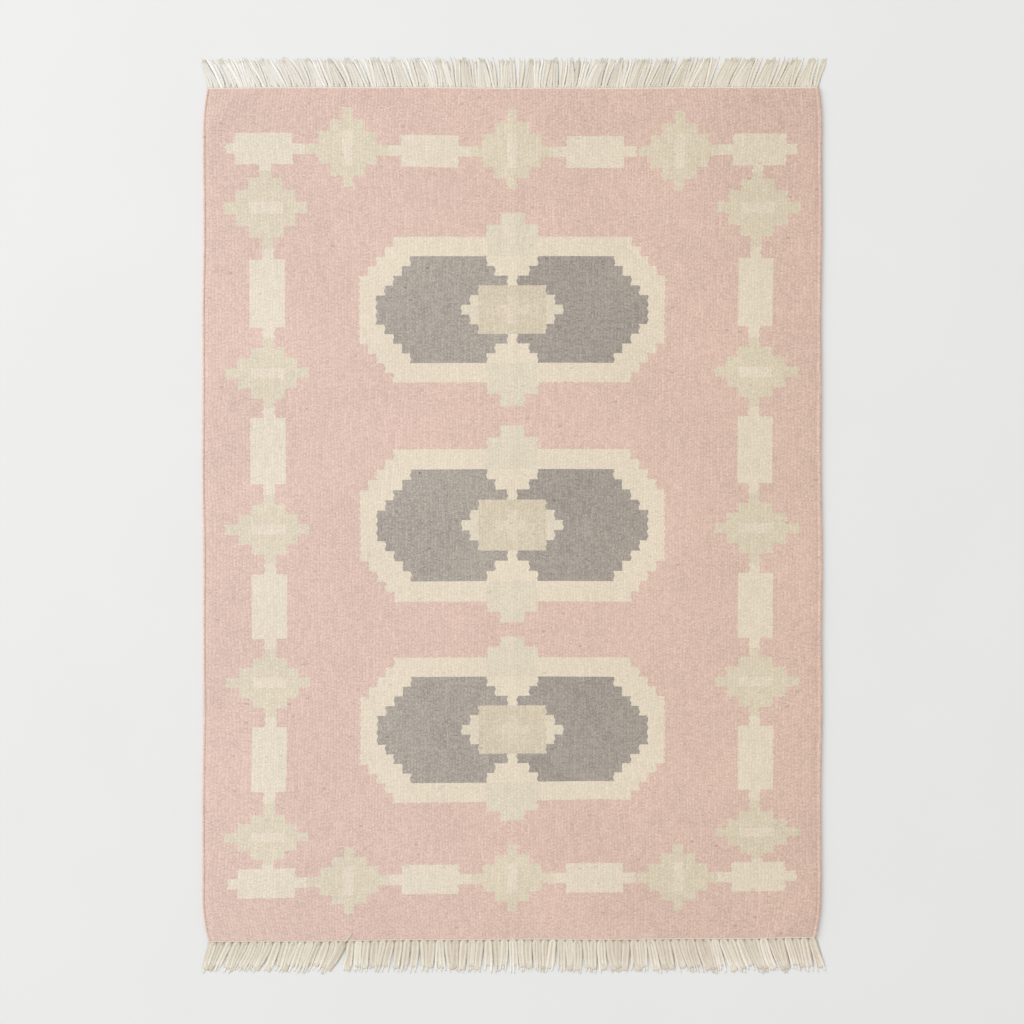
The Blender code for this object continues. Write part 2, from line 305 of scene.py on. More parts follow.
def side_column(side):
    """One side's column of lying crosses and standing bars, joined by a stem."""
    centre = side * COLUMN
    left, right = SIDE_STEMS[side]
    rows = sorted([(y, h, "cross") for y, h in SIDE_CROSSES] + [(y, h, "bar") for y, h in SIDE_BARS])
    lowest, highest = [(y, CORNER_HEIGHTS[y], "bar") for y in (BOTTOM_ROW, TOP_ROW)]
    rows = [lowest, *rows, highest]
    made = []
    for (y0, h0, below), (y1, h1, above) in zip(rows, rows[1:]):
        middle = (y0 + h0 / 2 + y1 - h1 / 2) / 2
        made.append((centre + left, centre + right, y0, middle, below))
        made.append((centre + left, centre + right, middle, y1, above))
    for y, height, yarn in rows[1:-1]:
        if yarn == "bar":
            w = SIDE_BAR_HALF_WIDTH
            made.append((centre - w, centre + w, y - height / 2, y + height / 2, yarn))
            continue
        for w, share in SIDE_CROSS_BANDS:
            made.append((centre - w, centre + w, y - height * share / 2, y + height * share / 2, yarn))
        half = height * SIDE_STRIPE_SHARE
        made.append((centre - CROSS_WAIST, centre + CROSS_WAIST, y - half, y + half, "stripe"))
    return made


def medallion(spire_top, top, bottom, spire_foot):
    """One stepped medallion: cream frame, grey ground, lozenge and two spires."""
    pitch = (top - bottom) / len(FRAME_STEPS)
    made = []
    for tip, foot in ((spire_top, top), (spire_foot, bottom)):
        middle = (tip + foot) / 2
        for steps, (a, b) in zip(SPIRE_STEPS, ((tip, middle), (middle, foot))):
            made.append((-steps * STEP, steps * STEP, min(a, b), max(a, b), "tip"))

    def row(number, half, yarn, rows=1):
        high = top - number * pitch
        made.append((-half * STEP, half * STEP, high - rows * pitch, high, yarn))

    for number, steps in enumerate(FRAME_STEPS):
        row(number, steps, "frame")
    row(0, 3, "tip", rows=2)
    row(13, 3, "tip", rows=2)
    for number, steps in enumerate(GROUND_STEPS):
        row(number + 2, steps, "ground")
    # The right half of the ground is of a slightly darker yarn.
    ground = [rectangle for rectangle in made if rectangle[4] == "ground"]
    made += [(0, right, low, high, "far_ground") for _, right, low, high, _ in ground]
    for number, steps in enumerate(HEART_STEPS):
        row(number + 2, steps, "tip" if 3 <= number <= 7 else "frame")
    for number in (5, 6, 7, 8, 9):
        row(number, 4, "heart")
    row(6, NECK, "plus", rows=3)
    row(7, 2, "plus")
    return made


def chart():
    """Every rectangle of the pattern, in the order they cover each other."""
    made = side_column(-1) + side_column(1) + end_row(TOP_ROW) + end_row(BOTTOM_ROW)
    for one in MEDALLIONS:
        made += medallion(*one)
    return [(a * MM, b * MM, c * MM, d * MM, yarn) for a, b, c, d, yarn in made]


def merged(lines, least):
    """The lines in order, with any closer than least to the last one left out."""
    kept = []
    for line in sorted(lines):
        if not kept or line - kept[-1] > least:
            kept.append(line)
    return kept


def filled(lines, widest):
    """The lines with even ones added wherever the gap is wider than widest."""
    made = [lines[0]]
    for line in lines[1:]:
        parts = math.ceil((line - made[-1]) / widest - 1e-6)
        start = made[-1]
        made += [start + (line - start) * k / parts for k in range(1, parts + 1)]
    return made


def grid(cloth):
    """The mesh lines across and along, and which columns are the narrow joins between yarns."""
    rectangles = chart()
    joins = merged({edge for r in rectangles for edge in r[:2]}, CLOSEST_LINES)
    rows = merged({edge for r in rectangles for edge in r[2:4]}, CLOSEST_LINES)
    half = cloth.join_width / 2
    rim = [side * (cloth.width / 2 - step[0] * MM * scale)
           for step in SIDE_PROFILE for side, scale in SELVEDGE_SCALE.items()]
    ends = [cloth.length / 2 - step[0] * MM for step in END_PROFILE]
    across = [edge + side * half for edge in joins for side in (-1, 1)]
    across = filled(sorted(across + rim), cloth.widest_cell)
    along = filled(sorted(rows + ends + [-y for y in ends]), cloth.widest_cell)
    middles = (np.array(across[1:]) + np.array(across[:-1])) / 2
    is_join = np.array([min(abs(m - edge) for edge in joins) < 0.05 * MM for m in middles])
    return rectangles, np.array(across), np.array(along), is_join


def heights(p, q, cloth):
    """Top and underside heights at chart points, before the ridges."""
    steps = np.array(SIDE_PROFILE) * MM
    scale = np.where(p > 0, SELVEDGE_SCALE[1], SELVEDGE_SCALE[-1])
    to_side = (cloth.width / 2 - np.abs(p)) / scale
    to_end = cloth.length / 2 - np.abs(q)
    top = np.interp(to_side, steps[:, 0], steps[:, 1])
    low = np.interp(to_side, steps[:, 0], steps[:, 2])
    ends = np.array(END_PROFILE)
    full = np.interp(to_end / MM, ends[:, 0], ends[:, 1])
    middle = MID_HEIGHT * MM
    return middle + (top - middle) * full, middle - (middle - low) * full


def yarn_grid(rectangles, across, along, is_join, cloth):
    """The yarn colours of each cell, on its left and right, which differ only in a join."""
    x = (across[1:] + across[:-1]) / 2
    y = (along[1:] + along[:-1]) / 2
    cells = np.zeros((len(y), len(x)), int)
    for x0, x1, y0, y1, yarn in rectangles:
        inside = np.outer((y > y0) & (y < y1), (x > x0) & (x < x1))
        cells[inside] = YARNS.index(yarn)
    left, right = cells.copy(), cells.copy()
    for column in np.flatnonzero(is_join):
        left[:, column] = cells[:, column - 1]
        right[:, column] = cells[:, column + 1]
    table = np.array([tuple(getattr(cloth, yarn)) for yarn in YARNS])
    return table[left], table[right]


def cloth_mesh(cloth):
    """The woven sheet as one closed mesh, with its yarn colours and weave coordinates."""
    rectangles, across, along, is_join = grid(cloth)
    p, q = np.meshgrid(across, along)
    top, low = heights(p, q, cloth)
    x, y = outlined(*hand_woven(p, q, cloth), cloth)
    lift = ridge_lift(x, y, cloth)
    rows, columns = p.shape
    upper = np.arange(rows * columns).reshape(rows, columns)
    inner = np.zeros_like(upper, bool)
    inner[1:-1, 1:-1] = True
    lower = upper.copy()
    lower[inner] = rows * columns + np.arange(inner.sum())
    points = np.concatenate([
        np.stack([x, y, top + lift], -1).reshape(-1, 3),
        np.stack([x, y, low + lift], -1)[inner],
    ])
    quads, uvs, left, right, joins = [], [], [], [], []
    left_yarn, right_yarn = yarn_grid(rectangles, across, along, is_join, cloth)
    corners = ((0, 0), (0, 1), (1, 1), (1, 0))
    ramp = np.broadcast_to(is_join, (rows - 1, columns - 1)).astype(float)
    for index, order in ((upper, corners), (lower, corners[::-1])):
        pick = [(slice(r, rows - 1 + r), slice(c, columns - 1 + c)) for r, c in order]
        quads.append(np.stack([index[s] for s in pick], -1).reshape(-1, 4))
        uvs.append(np.stack([np.stack([p[s], q[s]], -1) for s in pick], 2).reshape(-1, 2))
        joins.append(np.stack([ramp * c for r, c in order], -1).reshape(-1))
        left.append(np.repeat(left_yarn.reshape(-1, 4), 4, axis=0))
        right.append(np.repeat(right_yarn.reshape(-1, 4), 4, axis=0))
    mesh = bpy.data.meshes.new("woven_cloth")
    mesh.from_pydata(points.tolist(), [], np.concatenate(quads).tolist())
    mesh.uv_layers.new(name="weave").data.foreach_set("uv", np.concatenate(uvs).ravel())
    for name, values in (("yarn", left), ("next_yarn", right)):
        layer = mesh.color_attributes.new(name=name, type="FLOAT_COLOR", domain="CORNER")
        layer.data.foreach_set("color", np.concatenate(values).ravel())
    mesh.attributes.new("join", "FLOAT", "CORNER").data.foreach_set("value", np.concatenate(joins))
    mesh.polygons.foreach_set("use_smooth", [True] * len(mesh.polygons))
    mesh.update()
    return mesh


def add(tree, kind, settings=None, links=None, **properties):
    """A node of this kind, with its properties, input values and incoming links."""
    node = tree.nodes.new(kind)
    for name, value in properties.items():
        setattr(node, name, value)
    for key, value in (settings or {}).items():
        node.inputs[key].default_value = value
    for key, source in (links or {}).items():
        tree.links.new(source, node.inputs[key])
    return node


# Clumps to a metre: wool fibres of 3 mm, dye patches of 200 mm, streaks of 42 mm down the ribs, and
# the wander of ribs and picks over 110 mm, by this much of a metre.
FIBRES = 330.0
DYE_PATCHES = 5.0
STREAKS = 24.0
STREAKS_A_RIB = 0.83
WANDERS = 9.0
WANDER = (0.018, 0.014, 0)
# How steeply a loop falls off to its sides and to the next pick.
LOOP_STEEPNESS = (3.9, 3.7)
# How far each kind of mottling darkens and lightens the wool: loops, streaks, dye, fibres, and
# last painted shade, darker in the crevices round each loop.
WOOL_TONES = ((-0.06, 0.06), (-0.08, 0.08), (-0.08, 0.08), (-0.34, 0.34), (-0.08, 0.03))
# Share of loops with a dull fleck in them, and its tone.
FLECKED = 0.0015
FLECK_TONE = -0.12
# Mottling of the dyed wool and of the undyed, as they differ in lightness.
DYED = {1: 0.38, 2: 0.70, 3: 1.75, 4: 0.8}
# Where the wool is painted darker, across (0) or along (1): axis, from, to, how much at the end.
# Across, it is painted shade where the light falls off to the right.
DARKER_TOWARDS = ((0, -0.05, 0.62, -0.055), (1, 0.40, 0.83, -0.04), (1, -0.50, -0.83, -0.02))
# Painted light: how much warmer the light is painted from the left side to the right, in green and blue.
PAINTED_LIGHT_ACROSS = {1: -0.6, 2: 0.6}
PAINTED_LIGHT_GREEN = {3: 1.008, 4: 0.980}
PAINTED_LIGHT_BLUE = {3: 1.025, 4: 0.945}
# In cotton, 6 mm clumps of dust, and fibres that wind round the yarn at this slant, six to a turn.
DUST = 160.0
WINDING_SLANT = 0.5
WINDINGS = 6.0
# Powers of a yarn's lightness in green and blue, which make its darker yarns warmer: the dusty ones
# and those painted in shade.
WARMER = (1.2, 1.5)


def new_material(name, roughness, sheen):
    """A matt material with one principled shader, and that shader. Sheen is the light on its nap."""
    material = bpy.data.materials.new(name)
    material.use_nodes = True
    shader = material.node_tree.nodes["Principled BSDF"]
    shader.inputs["Roughness"].default_value = roughness
    shader.inputs["Sheen Weight"].default_value = sheen
    shader.inputs["Sheen Roughness"].default_value = 0.6
    shader.inputs["Specular IOR Level"].default_value = 0.2
    return material, shader


def wool_material(cloth):
    """Dyed wool weft beaten down over hidden warps.

    To the eye it is matt and grainy: staggered loops in ribs, in mottled yarn, with a soft nap.
    """
    material, shader = new_material("weft_faced_wool", roughness=0.92, sheen=0.12)
    tree = material.node_tree
    math_node = "ShaderNodeMath"
    uv = add(tree, "ShaderNodeUVMap", uv_map="weave")
    # The ribs and picks wander by less than half a loop, as hand-beaten weft does.
    drift = add(tree, "ShaderNodeTexNoise", {"Scale": WANDERS, "Detail": 1.0}, {"Vector": uv.outputs[0]})
    moved = add(tree, "ShaderNodeVectorMath", {1: WANDER}, {0: drift.outputs["Color"]},
                operation="MULTIPLY")
    wandered = add(tree, "ShaderNodeVectorMath", links={0: uv.outputs[0], 1: moved.outputs[0]},
                   operation="ADD")
    parts = add(tree, "ShaderNodeSeparateXYZ", links={0: wandered.outputs[0]})
    rib = add(tree, math_node, {1: cloth.rib_pitch}, {0: parts.outputs[0]}, operation="DIVIDE")
    rib_number = add(tree, math_node, links={0: rib.outputs[0]}, operation="FLOOR")
    pick = add(tree, math_node, {1: cloth.loop_height}, {0: parts.outputs[1]}, operation="DIVIDE")
    stagger = add(tree, math_node, {1: 0.5}, {0: rib_number.outputs[0], 2: pick.outputs[0]},
                  operation="MULTIPLY_ADD")
    loop_number = add(tree, math_node, links={0: stagger.outputs[0]}, operation="FLOOR")
    # Each loop is a pillow: 1 on its crown, 0 in the crevices round it.
    sides = []
    for source, steepness in zip((rib, stagger), LOOP_STEEPNESS):
        share = add(tree, math_node, links={0: source.outputs[0]}, operation="FRACT")
        off = add(tree, math_node, {1: 0.5}, {0: share.outputs[0]}, operation="SUBTRACT")
        square = add(tree, math_node, links={0: off.outputs[0], 1: off.outputs[0]}, operation="MULTIPLY")
        rest = add(tree, math_node, {1: -steepness, 2: 1.0}, {0: square.outputs[0]},
                   operation="MULTIPLY_ADD")
        sides.append(add(tree, math_node, links={0: rest.outputs[0]}, operation="SQRT"))
    pillow = add(tree, math_node, links={0: sides[0].outputs[0], 1: sides[1].outputs[0]},
                 operation="MULTIPLY")
    # Yarn colour, with every second pick reaching past the join as interlocked weft does.
    yarn = add(tree, "ShaderNodeAttribute", attribute_name="yarn")
    beyond = add(tree, "ShaderNodeAttribute", attribute_name="next_yarn")
    join = add(tree, "ShaderNodeAttribute", attribute_name="join")
    pair = add(tree, math_node, {1: 2.0}, {0: pick.outputs[0]}, operation="PINGPONG")
    bound = add(tree, math_node, {1: 0.7, 2: -0.2}, {0: pair.outputs[0]}, operation="MULTIPLY_ADD")
    past = add(tree, math_node, links={0: join.outputs["Fac"], 1: bound.outputs[0]},
               operation="GREATER_THAN")
    crossing = add(tree, math_node, {1: 0.001}, {0: join.outputs["Fac"]}, operation="GREATER_THAN")
    over = add(tree, math_node, links={0: past.outputs[0], 1: crossing.outputs[0]}, operation="MULTIPLY")
    woven = add(tree, "ShaderNodeMix", links={0: over.outputs[0], 6: yarn.outputs["Color"],
                                              7: beyond.outputs["Color"]}, data_type="RGBA")
    # Mottling: a tone for each loop, streaks down the ribs and softer patches of dye, and painted shade in
    # the crevices.
    cell = add(tree, "ShaderNodeCombineXYZ", links={0: rib_number.outputs[0], 1: loop_number.outputs[0]})
    spot = add(tree, "ShaderNodeTexWhiteNoise", links={"Vector": cell.outputs[0]}, noise_dimensions="2D")
    streak_place = add(tree, "ShaderNodeCombineXYZ", links={0: rib_number.outputs[0], 1: parts.outputs[1]})
    streak_scale = add(tree, "ShaderNodeVectorMath", {1: (STREAKS_A_RIB, STREAKS, 1.0)},
                       {0: streak_place.outputs[0]}, operation="MULTIPLY")
    streak = add(tree, "ShaderNodeTexNoise", {"Scale": 1.0, "Detail": 1.0},
                 {"Vector": streak_scale.outputs[0]})
    patch = add(tree, "ShaderNodeTexNoise", {"Scale": DYE_PATCHES, "Detail": 3.0},
                {"Vector": uv.outputs[0]})
    fibre = add(tree, "ShaderNodeTexNoise", {"Scale": FIBRES, "Detail": 2.0}, {"Vector": uv.outputs[0]})
    tone = None
    sources = (spot.outputs["Value"], streak.outputs["Fac"], patch.outputs["Fac"],
               fibre.outputs["Fac"], pillow.outputs[0])
    # The pillow's tone is painted shade: darker in the crevices round a loop, a little lighter on its
    # crown.
    for source, (darkest, lightest) in zip(sources, WOOL_TONES):
        part = add(tree, "ShaderNodeMapRange", {3: darkest, 4: lightest}, {0: source})
        if tone is None:
            tone = part
        else:
            tone = add(tree, math_node, links={0: tone.outputs[0], 1: part.outputs[0]}, operation="ADD")
    fleck = add(tree, math_node, {1: FLECKED}, {0: spot.outputs["Value"]}, operation="LESS_THAN")
    dull = add(tree, math_node, {1: FLECK_TONE}, {0: fleck.outputs[0], 2: tone.outputs[0]},
               operation="MULTIPLY_ADD")
    # Dyed wool is blotchier than the undyed. The right side is painted darker, as shade where the light
    # falls off, and the far end is a little darker too.
    light = add(tree, "ShaderNodeRGBToBW", links={0: woven.outputs[2]})
    blotch = add(tree, "ShaderNodeMapRange", DYED, {0: light.outputs[0]})
    mottled = add(tree, math_node, {2: 1.0}, {0: dull.outputs[0], 1: blotch.outputs[0]},
                  operation="MULTIPLY_ADD")
    shade = mottled
    for axis, start, finish, drop in DARKER_TOWARDS:
        part = add(tree, "ShaderNodeMapRange", {1: start, 2: finish, 3: 0.0, 4: drop},
                   {0: parts.outputs[axis]})
        shade = add(tree, math_node, links={0: shade.outputs[0], 1: part.outputs[0]}, operation="ADD")
    shaded = add(tree, "ShaderNodeVectorMath", links={0: woven.outputs[2], 3: shade.outputs[0]},
                 operation="SCALE")
    # Painted light: its colour is also painted a little warmer towards its right side, where the light is
    # warmer.
    green = add(tree, "ShaderNodeMapRange", PAINTED_LIGHT_ACROSS | PAINTED_LIGHT_GREEN, {0: parts.outputs[0]})
    blue = add(tree, "ShaderNodeMapRange", PAINTED_LIGHT_ACROSS | PAINTED_LIGHT_BLUE, {0: parts.outputs[0]})
    warm_light = add(tree, "ShaderNodeCombineXYZ", {0: 1.0}, {1: green.outputs[0], 2: blue.outputs[0]})
    lit_across = add(tree, "ShaderNodeVectorMath", links={0: shaded.outputs[0], 1: warm_light.outputs[0]},
               operation="MULTIPLY")
    tree.links.new(lit_across.outputs[0], shader.inputs["Base Color"])
    uneven = add(tree, math_node, {1: 0.7, 2: 0.6}, {0: spot.outputs["Value"]}, operation="MULTIPLY_ADD")
    plump = add(tree, math_node, links={0: pillow.outputs[0], 1: uneven.outputs[0]}, operation="MULTIPLY")
    relief = add(tree, math_node, {1: 0.9}, {0: fibre.outputs["Fac"], 2: plump.outputs[0]},
                 operation="MULTIPLY_ADD")
    bump = add(tree, "ShaderNodeBump", {"Strength": 1.0, "Distance": cloth.loop_relief},
               {"Height": relief.outputs[0]})
    tree.links.new(bump.outputs[0], shader.inputs["Normal"])
    return material


def cotton_material(name, left, right, twist):
    """Undyed cotton warp, plied and a little dusty.

    To the eye it is matt and cream, with fine fibres wound round each yarn and soft shadows.
    """
    material, shader = new_material(name, roughness=0.88, sheen=0.05)
    # Light soaks a little way into the yarn and softens its shadows.
    shader.inputs["Subsurface Weight"].default_value = 0.12
    shader.inputs["Subsurface Radius"].default_value = (1.0, 0.9, 0.75)
    shader.inputs["Subsurface Scale"].default_value = 3 * MM
    tree = material.node_tree
    uv = add(tree, "ShaderNodeUVMap", uv_map="yarn")
    tone = add(tree, "ShaderNodeAttribute", attribute_name="tone")
    wind = add(tree, "ShaderNodeMapping",
               {"Scale": (1 / twist, 2.0, 1.0), "Rotation": (0, 0, WINDING_SLANT)},
               {"Vector": uv.outputs[0]})
    fibres = add(tree, "ShaderNodeTexNoise", {"Scale": WINDINGS, "Detail": 3.0},
                 {"Vector": wind.outputs[0]})
    mottle = add(tree, "ShaderNodeTexNoise", {"Scale": DUST, "Detail": 2.0},
                 {"Vector": add(tree, "ShaderNodeTexCoord").outputs["Object"]})
    low = add(tree, "ShaderNodeMapRange", {3: -0.05, 4: 0.05}, {0: fibres.outputs["Fac"]})
    high = add(tree, "ShaderNodeMapRange", {3: -0.08, 4: 0.08}, {0: mottle.outputs["Fac"]})
    both = add(tree, "ShaderNodeMath", links={0: low.outputs[0], 1: high.outputs[0]}, operation="ADD")
    # The tone holds painted shade and light: darker lock bodies, knot backs and bunched strands, lighter
    # loose fibres.
    level = add(tree, "ShaderNodeMath", links={0: both.outputs[0], 1: tone.outputs["Fac"]},
                operation="ADD")
    # Painted light: towards its right side its colour is painted darker and warmer, as shade where the
    # light falls off.
    across = add(tree, "ShaderNodeSeparateXYZ",
                 links={0: add(tree, "ShaderNodeTexCoord").outputs["Object"]})
    share = add(tree, "ShaderNodeMapRange", PAINTED_LIGHT_ACROSS, {0: across.outputs[0]})
    lit_across = add(tree, "ShaderNodeMix", {6: tuple(left), 7: tuple(right)}, {0: share.outputs[0]},
               data_type="RGBA")
    # Its darker yarns, dusty or painted in shade, are painted warmer than its pale ones.
    green = add(tree, "ShaderNodeMath", {1: WARMER[0]}, {0: level.outputs[0]}, operation="POWER")
    blue = add(tree, "ShaderNodeMath", {1: WARMER[1]}, {0: level.outputs[0]}, operation="POWER")
    warm = add(tree, "ShaderNodeCombineXYZ",
               links={0: level.outputs[0], 1: green.outputs[0], 2: blue.outputs[0]})
    shaded = add(tree, "ShaderNodeVectorMath", links={0: lit_across.outputs[2], 1: warm.outputs[0]},
                 operation="MULTIPLY")
    tree.links.new(shaded.outputs[0], shader.inputs["Base Color"])
    # Its nap spreads the light, so its rounds shade less than bare ones would.
    round_way = add(tree, "ShaderNodeNewGeometry").outputs["Normal"]
    upright = add(tree, "ShaderNodeSeparateXYZ", links={0: round_way})
    up_or_down = add(tree, "ShaderNodeMath", links={0: upright.outputs["Z"]}, operation="SIGN")
    flat_way = add(tree, "ShaderNodeCombineXYZ", links={2: up_or_down.outputs[0]})
    soft_way = add(tree, "ShaderNodeVectorMath", links={0: round_way, 1: flat_way.outputs[0]},
                   operation="ADD")
    even_way = add(tree, "ShaderNodeVectorMath", links={0: soft_way.outputs[0]}, operation="NORMALIZE")
    bump = add(tree, "ShaderNodeBump", {"Strength": 0.25, "Distance": 0.2 * MM},
               {"Height": fibres.outputs["Fac"], "Normal": even_way.outputs[0]})
    tree.links.new(bump.outputs[0], shader.inputs["Normal"])
    return material


# How the strands sway and bunch up towards their tips.
SWAYS = {
    "FAR": ((3.0 * MM, 0.131, 0.3), (2.4 * MM, 0.083, 2.0), (5.8 * MM, 0.041, 4.4)),
    "NEAR": ((3.6 * MM, 0.148, 1.1), (2.2 * MM, 0.079, 5.2), (3.2 * MM, 0.045, 0.6)),
}
# How far the corners, left and right, hold back from the lean, from where and over what width.
CORNER_HELD = {"FAR": (0.3, 0.5), "NEAR": (0.0, 0.4)}
CORNER_FROM = 0.5
CORNER_OVER = 0.09
LEAN_CURVE = 1.2
# Besides the sway, strands bow by a share of it, a little further along.
BEND_SHARE = 0.35
BEND_SHIFT = 0.05
# Where the yarns part and the floor shows: place across, width touched, opening.
PARTINGS = {
    "FAR": ((0.118, 0.03, 5 * MM), (-0.402, 0.03, 4 * MM)),
    "NEAR": ((-0.322, 0.035, 7 * MM), (0.236, 0.03, 4 * MM)),
}
PARTING_CURVE = 1.3
# The loose warp end over the near edge, from its tip on the cloth to its root.
STRAY_END = ((-0.3125, -0.8155, 5.9 * MM), (-0.327, -0.8335, 5.6 * MM))
STRAY_RINGS = 9
STRAY_BOW = 1.5 * MM
STRAY_RADIUS = 2.2 * MM
STRAY_TONE = 0.9
STRAY_FLATNESS = 0.4
# The header: its gap to the cloth, its twined line and the backs of the knots past and below it, a strip
# painted darker as the shade between the knots.
FRINGE_GAP = 0.3 * MM
HEADER_WIDTH = 3.6 * MM
HEADER_INSET = 1.5 * MM
HEADER_OUT = 0.3 * MM
HEADER_HEIGHT = 3.5 * MM
HEADER_STEP = 1.5 * MM
HEADER_TURN = 8 * MM
HEADER_RADIUS = 2.4 * MM
HEADER_FLATNESS = 0.36
HEADER_LOBE = 0.2
KNOT_BACKS_PAST = 3.2 * MM
KNOT_BACKS_BELOW = 1.9 * MM
KNOT_BACKS_RADIUS = 4 * MM
KNOT_BACKS_FLATNESS = 0.25
# A strand leaves its knot at this height and lies down by this share of its length.
ROOT_HEIGHT = 3.1 * MM
ROOT_INSET = 1.2 * MM
LIES_DOWN_BY = 0.2
# Painted shade: strands are painted this much darker where they bunch up, at the knot and more towards
# the tip, and are paler from this share of their length on.
BUNCHED_SHADE = (0.03, 0.08)
PALE_FROM = 0.5
PALE_OVER = 0.45
LOCK_FLATNESS = 0.12
YARN_FLATNESS = 0.24
# A lock's body is painted darker and the yarns on it a little lighter: painted shade between and beneath
# the strands.
LOCK_SHADE_TONE = 0.86
YARN_TONE = 1.03
# How much one yarn and one whole group differ in tone.
YARN_TONE_RANGE = 0.12
GROUP_TONE_RANGE = 0.08
# How a lock and a yarn narrow: shares of the length, then of the width there.
LOCK_TAPER = ((0.6, 1.0), (0.9, 0.65))
YARN_TAPER = ((0, 0.06, 0.7, 1.0), (0.9, 1.0, 0.95, 0.55))
# A yarn lies at this many lock heights and up to a little more, and comes down off its lock near
# its tip, to this share of its radius.
ON_LOCK = 1.6
LIES_HIGHER = 0.4 * MM
COMES_DOWN_FROM = 0.72
COMES_DOWN_OVER = 0.24
TIP_HEIGHT = 0.3
YARN_RINGS = 24
YARN_SIDES = 8
# The loose fibres at a tip: radii in millimetres at the rings, spread and its curve, how far they
# sink and stay off the floor, and lightness, painted lighter than the yarn to offset the shade on them.
HAIR_RADII = (0.45, 0.4, 0.32, 0.16)
HAIR_SIDES = 3
HAIR_FLATNESS = 0.8
HAIR_SPREAD = 4 * MM
HAIR_CURVE = 1.6
HAIR_SINKS = 0.6
HAIR_HEIGHT = 0.4 * MM
HAIR_TONE = 1.1
CLEAR_OF_FLOOR = 0.02 * MM


def side_of(end):
    """1 at the far end and -1 at the near end."""
    return 1 if end == "FAR" else -1


class Tubes:
    """Many closed tubes gathered into one mesh."""

    def __init__(self):
        self.points = []
        self.faces = []
        self.uvs = []
        self.tones = []
        self.count = 0

    def add(self, path, radius, sides, tone, flat, turn=0.0, lobe=0.0):
        """A flattened tube along path. A lobe gives it a two-lobed section, turned at each point."""
        path = np.asarray(path)
        ahead = np.gradient(path, axis=0)
        ahead /= np.linalg.norm(ahead, axis=1)[:, None]
        beside = np.cross(ahead, (0.0, 0.0, 1.0))
        beside /= np.linalg.norm(beside, axis=1)[:, None]
        above = np.cross(beside, ahead)
        angles = TAU * np.arange(sides) / sides
        section = 1 - lobe * (1 - np.cos(2 * angles)) / 2
        turned = angles[None, :] + np.broadcast_to(turn, len(path))[:, None]
        reach = np.broadcast_to(radius, len(path))[:, None] * section[None, :]
        rings = (path[:, None, :] + (reach * np.cos(turned))[..., None] * beside[:, None, :]
                 + (flat * reach * np.sin(turned))[..., None] * above[:, None, :])
        rings[..., 2] = np.maximum(rings[..., 2], CLEAR_OF_FLOOR)
        far = np.concatenate([[0], np.cumsum(np.linalg.norm(np.diff(path, axis=0), axis=1))])
        first = self.count
        index = first + np.arange(len(path) * sides).reshape(len(path), sides)
        self.points += rings.reshape(-1, 3).tolist()
        for ring in range(len(path) - 1):
            for side in range(sides):
                after = (side + 1) % sides
                self.faces.append((index[ring, side], index[ring, after],
                                   index[ring + 1, after], index[ring + 1, side]))
                self.uvs += [(far[ring], side / sides), (far[ring], (side + 1) / sides),
                             (far[ring + 1], (side + 1) / sides), (far[ring + 1], side / sides)]
        self.faces.append(tuple(index[0, ::-1]))
        self.faces.append(tuple(index[-1]))
        self.uvs += [(0.0, 0.0)] * sides + [(far[-1], 0.0)] * sides
        self.tones += np.repeat(np.broadcast_to(tone, len(path)), sides).tolist()
        self.count += len(path) * sides

    def mesh(self, name):
        """The gathered tubes as a mesh."""
        mesh = bpy.data.meshes.new(name)
        mesh.from_pydata(self.points, [], [[int(i) for i in face] for face in self.faces])
        mesh.uv_layers.new(name="yarn").data.foreach_set("uv", np.array(self.uvs).ravel())
        mesh.attributes.new("tone", "FLOAT", "POINT").data.foreach_set("value", self.tones)
        mesh.polygons.foreach_set("use_smooth", [True] * len(mesh.polygons))
        mesh.update()
        return mesh


def strand_centre(root, even, reach, fringe):
    """Where across the rug a strand has got to, at a share of its length."""
    gathered = root + (even - root) * smooth(reach / fringe.fanned_out_by)
    far_out = (abs(even) / fringe.lean_turns_over) ** fringe.lean_power
    corner = float(smooth((abs(even) - CORNER_FROM) / CORNER_OVER))
    held = CORNER_HELD[fringe.end][0 if even < 0 else 1] * corner
    lean = math.copysign(fringe.lean * math.tanh(far_out) * (1 - held), even) * reach**LEAN_CURVE
    bend = BEND_SHARE * waves(even + BEND_SHIFT, SWAYS[fringe.end][:2]) * np.sin(math.pi * reach)
    parted = 0.0
    for where, width, opening in PARTINGS[fringe.end]:
        off = (even - where) / width
        parted += math.copysign(opening, off) * math.exp(-off * off) * reach**PARTING_CURVE
    return gathered + lean + parted + waves(even, SWAYS[fringe.end]) * reach + bend


def group_place(group, fringe, cloth):
    """The centre of a knotted group across the rug and the distance to the next."""
    side = side_of(fringe.end)
    left = HEADER_INSET - float(half_width(side * cloth.length / 2, -1, cloth))
    right = float(half_width(side * cloth.length / 2, 1, cloth)) - HEADER_INSET
    pitch = (right - left) / fringe.groups
    return left + (group + 0.5) * pitch, pitch


